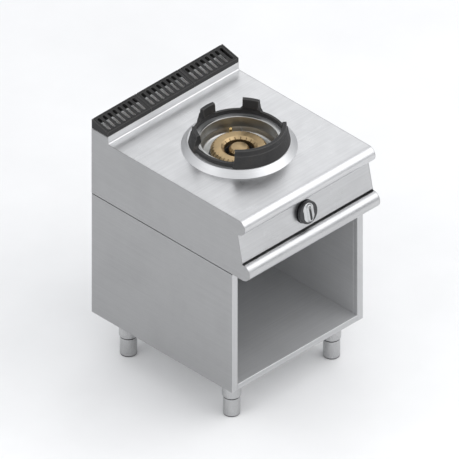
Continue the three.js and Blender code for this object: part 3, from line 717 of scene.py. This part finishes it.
def radial_slots(n, r0, r1, w, z0, z1, turn=0.0):
    out = bmesh.new()
    for i in range(n):
        c, s = math.cos(2 * PI * (i + turn) / n), math.sin(2 * PI * (i + turn) / n)
        q = [(r0, -w / 2), (r1, -w / 2), (r1, w / 2), (r0, w / 2)]
        lo = [out.verts.new(at_burner(a * c - b * s, a * s + b * c, z0)) for a, b in q]
        hi = [out.verts.new(at_burner(a * c - b * s, a * s + b * c, z1)) for a, b in q]
        out.faces.new(lo[::-1]); out.faces.new(hi)
        for k in range(4):
            out.faces.new((lo[k], lo[(k + 1) % 4], hi[(k + 1) % 4], hi[k]))
    return out


prof = fillet([(50, 675.3), (94, 675.3), (94, 689), (86, 699), (60, 699), (50, 691)], [0.8, 0.8, 2.5, 3, 3, 2.5], 5, True)
o = new_object("crown_ring", lathe_bm(prof, 144, at_burner, True), M["crown"], weighted=False)
boolean(o, radial_slots(36, 82, 100, 2.6, 685, 702))
put(crisp(boolean(o, radial_slots(18, 40, 57, 2.4, 687, 702))), "burner_crown", "burner_crown")
prof = fillet([(0, 675.3), (33.6, 675.3), (33.6, 689), (27, 698), (8, 701), (0, 701)], [0, 0.8, 2, 3, 2, 0], 5)
o = new_object("centre_cap", lathe_bm(prof, 96, at_burner), M["crown"], weighted=False)
put(crisp(boolean(o, radial_slots(20, 26, 40, 2.2, 685, 702, 0.5))), "burner_cap", "burner_cap")


def small_at(x, v):
    return lambda a, b, h: (x + a, Y(v) + b, Z(h))


prof = fillet([(0, 656), (4.5, 656), (4.5, 676), (6, 678), (6, 694), (3, 698), (0, 698)], 0.6, 3)
put(new_object("pilot_head", lathe_bm(prof, 40, small_at(55, BV - 95.3)), M["brass"]), "frame", "pilot_burner")
prof = fillet([(0, 656), (3.4, 656), (3.4, 664), (2.2, 665), (2.2, 692), (1.2, 696), (0, 696)], 0.4, 3)
put(new_object("flame_sensor", lathe_bm(prof, 32, small_at(81.7, BV - 73.6)), M["small"]), "frame", "thermocouple")

# ---------------------------------------------------------------- knob, dial and tap
prof = fillet([(13, 0.3), (41, 0.3), (41, 2), (13, 2)], [0.1, 0.3, 0.8, 0.3], 5, True)
put(new_object("dial_plate", lathe_bm(prof, 128, on_panel, True), M["black"]), "frame", "dial_ring")
prof = fillet([(0, 13.8), (4.3, 13.8), (4.3, 5.8), (12, 5.8), (12, 14.2), (36.8, 14.2), (36.8, 7.4), (39.5, 7.4), (39.5, 18), (0, 18)], [0, 0.3, 0.3, 0.5, 1, 1, 0.5, 0.7, 2.2, 0], 6)
o = new_object("control_knob", lathe_bm(prof, 128, on_panel), M["skirt"], weighted=False)
GRIP = [(16, 34.4, 25.5), (17.6, 34.4, 25.5), (18.5, 33, 19.5), (19.8, 32, 15), (21.6, 31.2, 12.2), (24.6, 30.2, 10.5), (26.2, 28.9, 9.2), (27, 26.6, 7)]


def smooth_rows(rows, n):
    """More rows on a smooth line through the given ones."""
    out = []
    for i in range(len(rows) - 1):
        q = [Vector(rows[max(0, i - 1)]), Vector(rows[i]), Vector(rows[i + 1]), Vector(rows[min(len(rows) - 1, i + 2)])]
        for k in range(n):
            t = k / n
            out.append(0.5 * ((2 * q[1]) + (q[2] - q[0]) * t + (2 * q[0] - 5 * q[1] + 4 * q[2] - q[3]) * t * t + (3 * q[1] - q[0] - 3 * q[2] + q[3]) * t ** 3))
    return out + [Vector(rows[-1])]


bm = bmesh.new()
loops = [[bm.verts.new(on_panel(a, b, g[0])) for a, b in stadium(0, 0, 2 * g[1], 2 * g[2], 1, 24)] for g in [Vector(GRIP[0])] + smooth_rows(GRIP[1:], 3)]
bm.faces.new(loops[0][::-1])
bm.faces.new(loops[-1])
for A, B in zip(loops, loops[1:]):
    for k in range(len(A)):
        bm.faces.new((A[k], A[(k + 1) % len(A)], B[(k + 1) % len(A)], B[k]))
bmesh.ops.recalc_face_normals(bm, faces=bm.faces)
o = put(crisp(boolean(o, bm, "UNION"), 40), "knob_turn", "knob")
o.data.materials.append(M["knob"])
from_panel = PANEL.inverted()
for f in o.data.polygons:
    f.material_index = 1 if (from_panel @ (f.center * 1000)).z > 18.03 else 0
# painted shade: a thin black stripe along the top of the grip's ridge, standing in for the shade line beside the ridge
bm = prism_bm(stadium(0, 0, 51, 9.6, 1, 10), 0.12, lambda a, b, c: on_panel(a, b, 26.93 + c))
put(new_object("knob_ridge_painted_shade", bm, M["painted_shade"], weighted=False), "knob_turn")
bm = prism_bm(stadium(0, 18.5, 9, 2, 1, 6), 0.08, lambda a, b, c: on_panel(a, b, 27.03 + c))
put(new_object("knob_pointer", bm, M["white"], weighted=False), "knob_turn")

# ---------------------------------------------------------------- gas fittings
prof = fillet([(7, 0), (10.5, 0), (10.5, 2.6), (19, 2.6), (19, 9), (12, 9), (12, 46), (7, 46)], 0.4, 3, True)
put(new_object("inlet_union", lathe_bm(prof, 64, lambda x, y, h: (230 + x, Y(h), Z(520) + y), True), M["brass"]), "frame", "gas_inlet_union")


def P(s, u=0, x=0):
    q = PANEL @ Vector((x, u, s))
    return (q.x, DEPTH / 2 - q.y, q.z - LEG)


def pipe(name, pts, r, mat, node):
    cu = bpy.data.curves.new(name, "CURVE")
    cu.dimensions = "3D"
    sp = cu.splines.new("NURBS")
    sp.points.add(len(pts) - 1)
    for p, (x, v, z) in zip(sp.points, pts):
        p.co = (x / 1000, Y(v) / 1000, Z(z) / 1000, 1)
    sp.use_endpoint_u, sp.order_u, sp.resolution_u = True, 3, 10
    cu.bevel_depth, cu.bevel_resolution, cu.use_fill_caps = r / 1000, 6, True
    o = bpy.data.objects.new(name, cu)
    bpy.context.scene.collection.objects.link(o)
    dg = bpy.context.evaluated_depsgraph_get()
    me = bpy.data.meshes.new_from_object(o.evaluated_get(dg), depsgraph=dg)
    bpy.data.objects.remove(o, do_unlink=True)
    o = bpy.data.objects.new(name, me)
    bpy.context.scene.collection.objects.link(o)
    me.materials.append(mat)
    for p in me.polygons:
        p.use_smooth = True
    put(crisp(o, 50), "frame", node)


tin, tout, pil, tail = P(-30, 0, 34.4), P(-42, 0, -30.4), P(-24, 26.4), P(-84.4)
ix, iz = 230, 520
pipe("supply_pipe", [(ix, 46.4, iz), (ix, 90, iz), (ix, 170, 503), (ix, 350, 499), (ix, 560, 499), (ix, 630, 499), (ix, tin[1] - 3, 514), (ix - 4, tin[1], 556), (ix - 30, tin[1], tin[2] - 4), (ix - 74, tin[1], tin[2]), (90, tin[1], tin[2]), (48, tin[1], tin[2]), tin], 8, M["small"], "gas_supply_pipe")
pipe("burner_pipe", [tout, (-44, tout[1], tout[2]), (-66, tout[1] - 4, tout[2] + 5), (-80, 624, 602), (-76, 613, 626), (-56, BV + 232.5, TUBE_Z - 1), (-32, BV + 232.5, TUBE_Z), (-14.4, BV + 232.5, TUBE_Z)], 5, M["copper"], "burner_gas_pipe")
pipe("pilot_pipe", [pil, P(-24, 34), (6, 646, 636), (40, 625, 641), (100, 560, 636), (132, 450, 634), (128, 340, 634), (90, 290, 636), (64, 283, 640), (55, BV - 95.3, 650), (55, BV - 95.3, 655.6)], 2.2, M["copper"], "pilot_tube")
pipe("sensor_lead", [tail, P(-92), (10, 584, 576), (40, 566, 588), (110, 540, 615), (146, 450, 634), (144, 350, 635), (116, 306, 638), (88, BV - 74, 640), (81.7, BV - 73.6, 646), (81.7, BV - 73.6, 650), (81.7, BV - 73.6, 655.6)], 1.6, M["copper"], "thermocouple_lead")

# ---------------------------------------------------------------- back and inner sheets
def flush_screws(o, name, spots):
    """Countersunk cross-head screws, level with the back sheet o; spots are (x, z)."""
    heads = bmesh.new()
    for x, z in spots:
        def here(a, b, h, x=x, z=z):
            return (x + a, Y(0.12 + h), Z(z) + b)
        boolean(o, lathe_bm([(0, -2), (4.3, -2), (4.3, 0.55), (0, 0.55)], 32, lambda a, b, h: here(a, b, h)))
        t = lathe_bm(fillet([(0, 0.0), (3.7, 0.0), (3.9, 0.35), (3.9, 0.9), (0, 0.9)], [0, 0.5, 0.1, 0.05, 0], 3), 32, here)
        head = new_object("head", t, weighted=False)
        cross = [(-2.1, -0.4), (-0.4, -0.4), (-0.4, -2.1), (0.4, -2.1), (0.4, -0.4), (2.1, -0.4), (2.1, 0.4), (0.4, 0.4), (0.4, 2.1), (-0.4, 2.1), (-0.4, 0.4), (-2.1, 0.4)]
        boolean(head, prism_bm(cross, 1.6, lambda a, b, c: here(a, b, c - 1.0)))
        heads.from_mesh(head.data)
        bpy.data.objects.remove(head, do_unlink=True)
    bmesh.ops.scale(heads, vec=(1000,) * 3, verts=heads.verts)
    heads = new_object(name, heads, [M["screw"], M["painted_shade"]], weighted=False)
    # painted shade: the floor of each cross recess gets the black material, standing in for the shade inside the recess
    for f in heads.data.polygons:
        near = min(math.hypot(f.center.x * 1000 - x, f.center.z * 1000 - Z(z)) for x, z in spots)
        f.material_index = 1 if near < 2.3 and abs(f.normal.y) > 0.9 and Y(0) - f.center.y * 1000 > 0.6 and f.normal.y > 0 else 0
    put(heads, "frame")
    return crisp(o)


def plate(pts, v0, v1):
    return along_v(pts, v0, v1)


def rect(x0, x1, z0, z1, r=1.0):
    return fillet([(x0, z0), (x1, z0), (x1, z1), (x0, z1)], r, 3, True)


o = new_object("back_panel_lower", plate(rect(-284.7, 284.7, GAP, CAB_H - GAP), 0, 1.2), M["galv"], weighted=False)
bevel(o, 0.25, 2, 60)
spots = [(x, z) for x in (-276, 276) for z in (22, 165, 310, 455)] + [(x, z) for x in (-138, 0, 138) for z in (12, 460)]
put(flush_screws(o, "back_screws_lower", spots), "frame", "cabinet_back")

o = new_object("back_panel_upper", plate(rect(-XW, XW, CAB_H + GAP, 728), 0, 1.2), M["galv"], weighted=False)
boolean(o, prism_bm(circle(230, 520, 16, 64), 10, lambda a, b, c: (a, Y(c - 5), Z(b))))
for k in range(7):
    boolean(o, along_v(stadium(-90 + (k - 3) * 20, 525, 60, 8, 1, 8), -5, 5))
bevel(o, 0.25, 2, 60)
spots = [(x, z) for x in (-288, 288) for z in (486, 560, 640, 715)] + [(x, 718) for x in (-144, 0, 144)]
put(flush_screws(o, "back_screws_upper", spots), "frame", "upper_back")

path = fillet([(2, 440), (2, CAB_H - GAP), (22, CAB_H - GAP)], 1.8, 5)
put(new_object("rear_tie_rail", across_x(sheet(path, -1.2), -XI + GAP, XI - GAP), M["galv"]), "frame", "tie_rail_rear")
path = fillet([(600, 520), (600, 556), (640, 556), (640, 520)], 3, 5)
put(new_object("crossbar", across_x(sheet(path, -2), -XW, XW), M["galv"]), "frame", "front_crossbar")
path = fillet([(355, 600), (355, 627.7), (403, 627.7), (403, 600)], 3, 5)
put(new_object("burner_support", across_x(sheet(path, -2), -XW, XW), M["galv"]), "frame", "burner_bridge")
refine("upper_floor", M["galv"], 0.25)
refine("flue_duct", M["duct"], 0.3)
refine("tap_bracket", M["galv"], 0.3)
refine("injector_bracket", M["galv"], 0.4)
refine("pilot_bracket", M["small"], 0.3)
refine("tap_body", M["brass"], 0.35)
refine("bonnet_nut", M["brass"], 0.25)
refine("magnet_unit", M["small"], 0.4)
refine("injector", M["brass"], 0.2)
refine("injector_holder", M["brass"], 0.5)
refine("tap_spindle", M["small"], 0.2, body="knob_turn")
refine("tap_plunger", M["small"], 0.2, body="tap_push")

# the return spring is pressed shorter between the tap body and the spindle's collar
cu = bpy.data.curves.new("tap_return_spring", "CURVE")
cu.dimensions = "3D"
sp = cu.splines.new("POLY")
sp.points.add(120)
for i, p in enumerate(sp.points):
    a = 2 * PI * 5 * i / 120
    p.co = (*(Vector(on_panel(6.4 * math.cos(a), 6.4 * math.sin(a), -21.2 + 15.2 * i / 120)) / 1000), 1)
cu.bevel_depth, cu.bevel_resolution, cu.use_fill_caps = 0.00065, 3, True
o = bpy.data.objects.new("coil", cu)
bpy.context.scene.collection.objects.link(o)
me = bpy.data.meshes.new_from_object(o.evaluated_get(bpy.context.evaluated_depsgraph_get()))
bpy.data.objects.remove(o, do_unlink=True)
o = bpy.data.objects.new("tap_return_spring", me)
bpy.context.scene.collection.objects.link(o)
me.materials.clear()
me.materials.append(M["small"])
put(crisp(o, 50), "frame", "knob_spring")
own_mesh(o)

# ---------------------------------------------------------------- floor and light
fl = Nodes("floor_white")
fn = fl.noise(fl.scaled(1, 1, 1), 2.5, 4.0)
fl.set(color=fl.ramp(fn, [(0.3, (0.86, 0.86, 0.86)), (0.7, (0.90, 0.90, 0.90))]), rough=0.75, metal=0.0)
bm = bmesh.new()
bmesh.ops.create_grid(bm, x_segments=2, y_segments=2, size=14000)
floor = new_object("floor", bm, fl.m, weighted=False, clean=False)
floor.location.z = -0.0004

world = bpy.data.worlds.new("studio")
bpy.context.scene.world = world
world.use_nodes = True
wt = world.node_tree
bg = wt.nodes["Background"]
tc = wt.nodes.new("ShaderNodeTexCoord")
sep = wt.nodes.new("ShaderNodeSeparateXYZ")
wt.links.new(tc.outputs["Generated"], sep.inputs[0])
cr = wt.nodes.new("ShaderNodeValToRGB")
for p, c in ((0.485, (0.90, 0.90, 0.90, 1)), (0.5, (0.50, 0.51, 0.53, 1))):   # as pale below the horizon as the floor
    cr.color_ramp.elements.new(p).color = c
cr.color_ramp.elements[0].color = (0.90, 0.90, 0.90, 1)
cr.color_ramp.elements[-1].position, cr.color_ramp.elements[-1].color = 0.875, (0.92, 0.93, 0.95, 1)
mr = wt.nodes.new("ShaderNodeMapRange")
mr.inputs["From Min"].default_value, mr.inputs["From Max"].default_value = -1, 1
wt.links.new(sep.outputs[2], mr.inputs["Value"])
wt.links.new(mr.outputs[0], cr.inputs[0])
wt.links.new(cr.outputs[0], bg.inputs[0])
bg.inputs[1].default_value = 1.04


def area(name, loc, aim, size, watts, size_y=None):
    d = bpy.data.lights.new(name, "AREA")
    d.shape = "RECTANGLE"
    d.size, d.size_y, d.energy = size, size_y or size, watts
    o = bpy.data.objects.new(name, d)
    bpy.context.scene.collection.objects.link(o)
    o.location = loc
    o.rotation_mode = "QUATERNION"
    o.rotation_quaternion = (Vector(aim) - Vector(loc)).to_track_quat("-Z", "Y")
    return o


area("key", (1.9, -2.3, 3.2), (0, 0, 0.5), 4.0, 64)
area("sheen", (2.6, 2.0, 2.7), (0, 0, 0.85), 1.8, 6)
area("fill", (-1.6, -3.0, 1.3), (0, 0, 0.45), 4.2, 20, 2.2)   # wide, so that the panel doesn't mirror it as pure white
area("left", (-3.2, 0.7, 2.2), (-0.4, 0, 0.2), 2.4, 24)

sc = bpy.context.scene
sc.view_settings.view_transform = "Standard"
sc.view_settings.look = "None"
